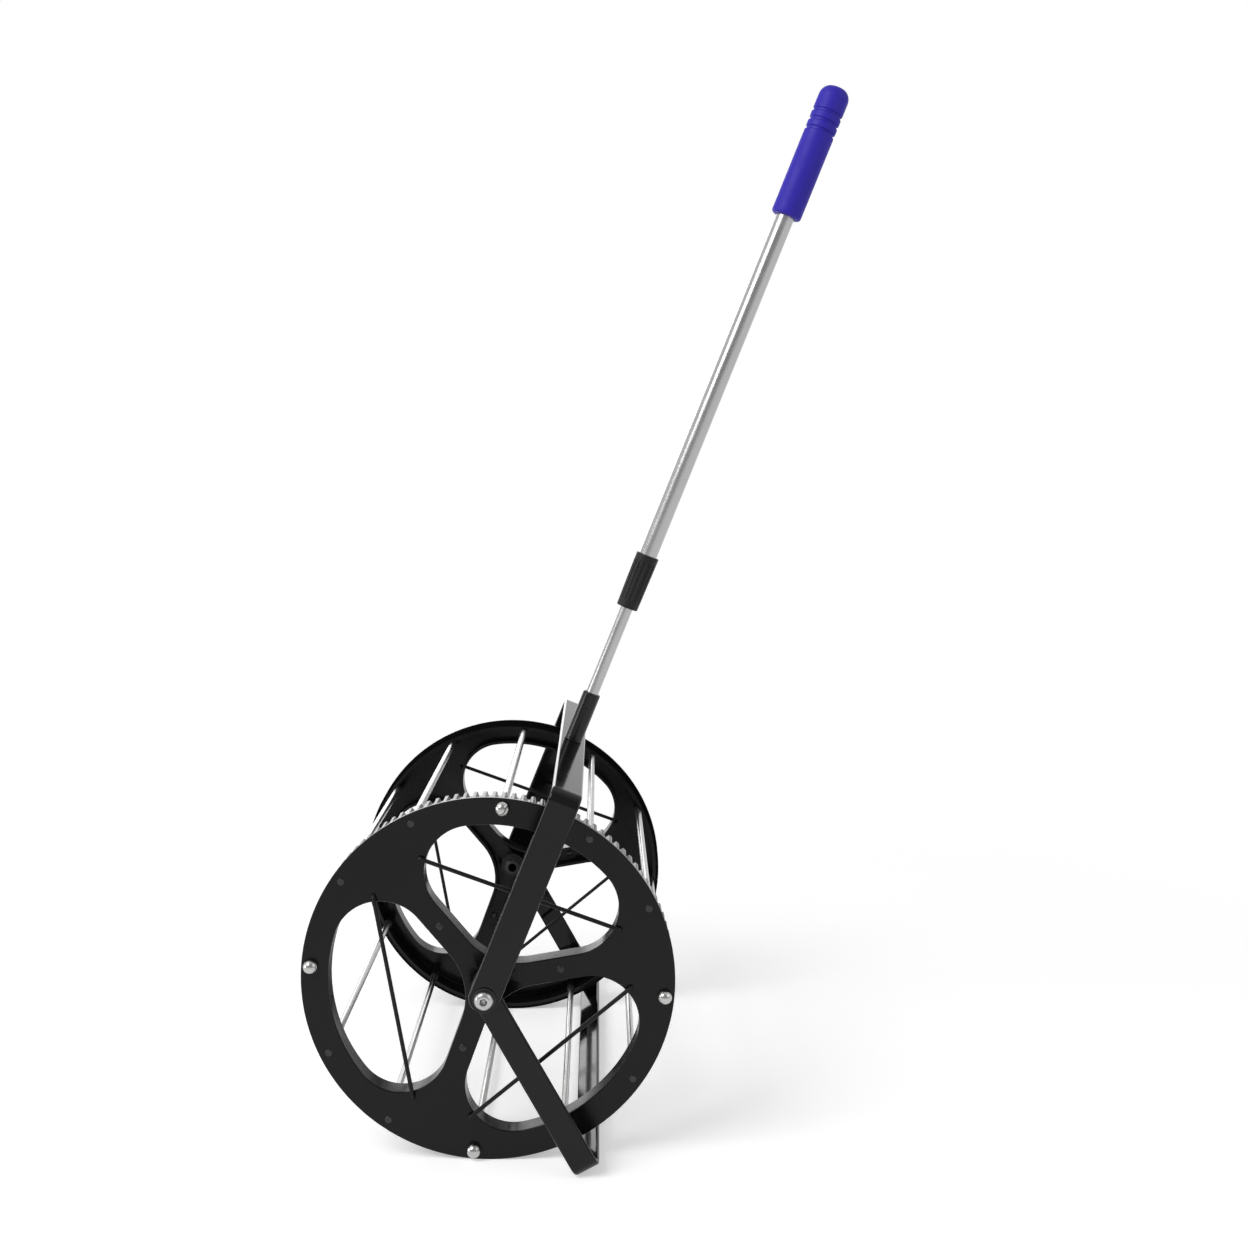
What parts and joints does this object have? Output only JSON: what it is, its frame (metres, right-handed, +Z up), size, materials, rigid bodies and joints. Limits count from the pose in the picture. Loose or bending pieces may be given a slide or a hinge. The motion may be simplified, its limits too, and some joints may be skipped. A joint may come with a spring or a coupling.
{
  "type": "tennis ball collector",
  "caption": "Rolling drum of steel rods between two spoked discs, on a forked telescopic handle with a fold-out parking stand; balls spring in between the rods.",
  "frame": {"origin": "on the floor, under the middle of the whole object's bounding box", "axes": "+Z up, Y along the drum's axle, the handle leans towards +X"},
  "size_m": [0.419, 0.4054, 0.8275],
  "materials": {
    "disc_plastic": "glossy black injection-moulded plastic",
    "rod_steel": "bright drawn steel rod",
    "nut_plate": "bright plated dome nuts",
    "wire_black": "black coated wire",
    "hub_black": "satin black painted steel",
    "rivet_black": "black rivets",
    "bush_plastic": "dark acetal bush",
    "bolt_steel": "bright zinc-plated screw",
    "washer_black": "blackened washers",
    "bar_black": "glossy black powder-coated flat bar",
    "socket_black": "glossy black painted tube",
    "tube_steel": "satin silver steel tube",
    "collar_plastic": "black moulded plastic with flutes",
    "inner_plastic": "grey acetal, hidden inside",
    "grip_rubber": "matt violet-blue rubber grip"
  },
  "bodies": {
    "yoke": {"yoke_bar": "bar_black", "handle_socket": "socket_black", "socket_screw": "bolt_steel", "socket_pin": "bolt_steel", "lower_tube": "tube_steel", "tube_guide": "inner_plastic", "left_axle_bolt": "bolt_steel", "right_axle_bolt": "bolt_steel", "axle_lock_nuts": "washer_black", "pivot_washers": "washer_black"},
    "drum": {"left_disc": "disc_plastic", "right_disc": "disc_plastic", "left_hub": "hub_black", "right_hub": "hub_black", "left_axle_bush": "bush_plastic", "right_axle_bush": "bush_plastic", "left_guard_wires": "wire_black", "right_guard_wires": "wire_black", "spring_rods": "rod_steel", "tie_rods": "rod_steel", "tie_rod_nuts": "nut_plate", "hub_rivets": "rivet_black"},
    "stand": {"stand_bar": "bar_black"},
    "upper_handle": {"upper_tube": "tube_steel", "grip": "grip_rubber", "lock_collet": "inner_plastic"},
    "twist_collar": {"lock_collar": "collar_plastic"}
  },
  "joints": [
    {"name": "drum_spin", "type": "hinge", "parent": "yoke", "child": "drum", "pos_m": [-0.06946, 0, 0.14], "axis": [0, 1, 0], "continuous": true},
    {"name": "stand_fold", "type": "hinge", "parent": "yoke", "child": "stand", "pos_m": [-0.06946, 0, 0.14], "axis": [0, -1, 0], "range_deg": [0, 129.15]},
    {"name": "handle_slide", "type": "slide", "parent": "yoke", "child": "upper_handle", "axis": [0.3665, 0, 0.9304], "range_m": [-0.06, 0.28]},
    {"name": "collar_twist", "type": "hinge", "parent": "upper_handle", "child": "twist_collar", "pos_m": [0.0436, 0, 0.42703], "axis": [0.3665, 0, 0.9304], "range_deg": [0, 90]}
  ]
}
